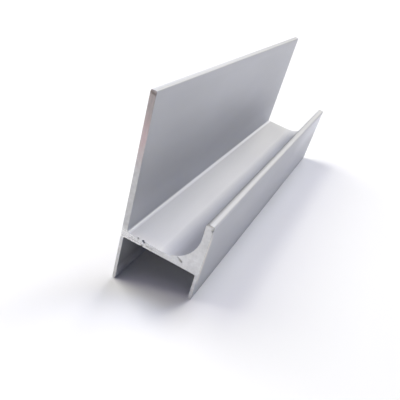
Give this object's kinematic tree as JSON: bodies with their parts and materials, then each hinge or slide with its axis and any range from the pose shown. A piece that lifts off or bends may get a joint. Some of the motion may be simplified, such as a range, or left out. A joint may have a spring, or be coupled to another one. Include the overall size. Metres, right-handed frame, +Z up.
{
  "type": "aluminium handle edge profile",
  "caption": "Extruded aluminium handle profile: a channel that grips a board edge, a tall back flange and a hooked finger trough along the front.",
  "frame": {"origin": "middle of the box's underside, on the floor that both legs' toes stand on", "axes": "+Y along the extrusion, away from the cut end that shows the section; +X from the back flange to the finger lip; +Z up from the floor, with the section leant towards +X because its front leg is the short one"},
  "size_m": [0.0264, 0.1, 0.045],
  "materials": {
    "anodised_aluminium": "satin silver anodised skin, bare saw-cut ends"
  },
  "bodies": {
    "root": {"handle_profile": "anodised_aluminium"}
  },
  "joints": []
}
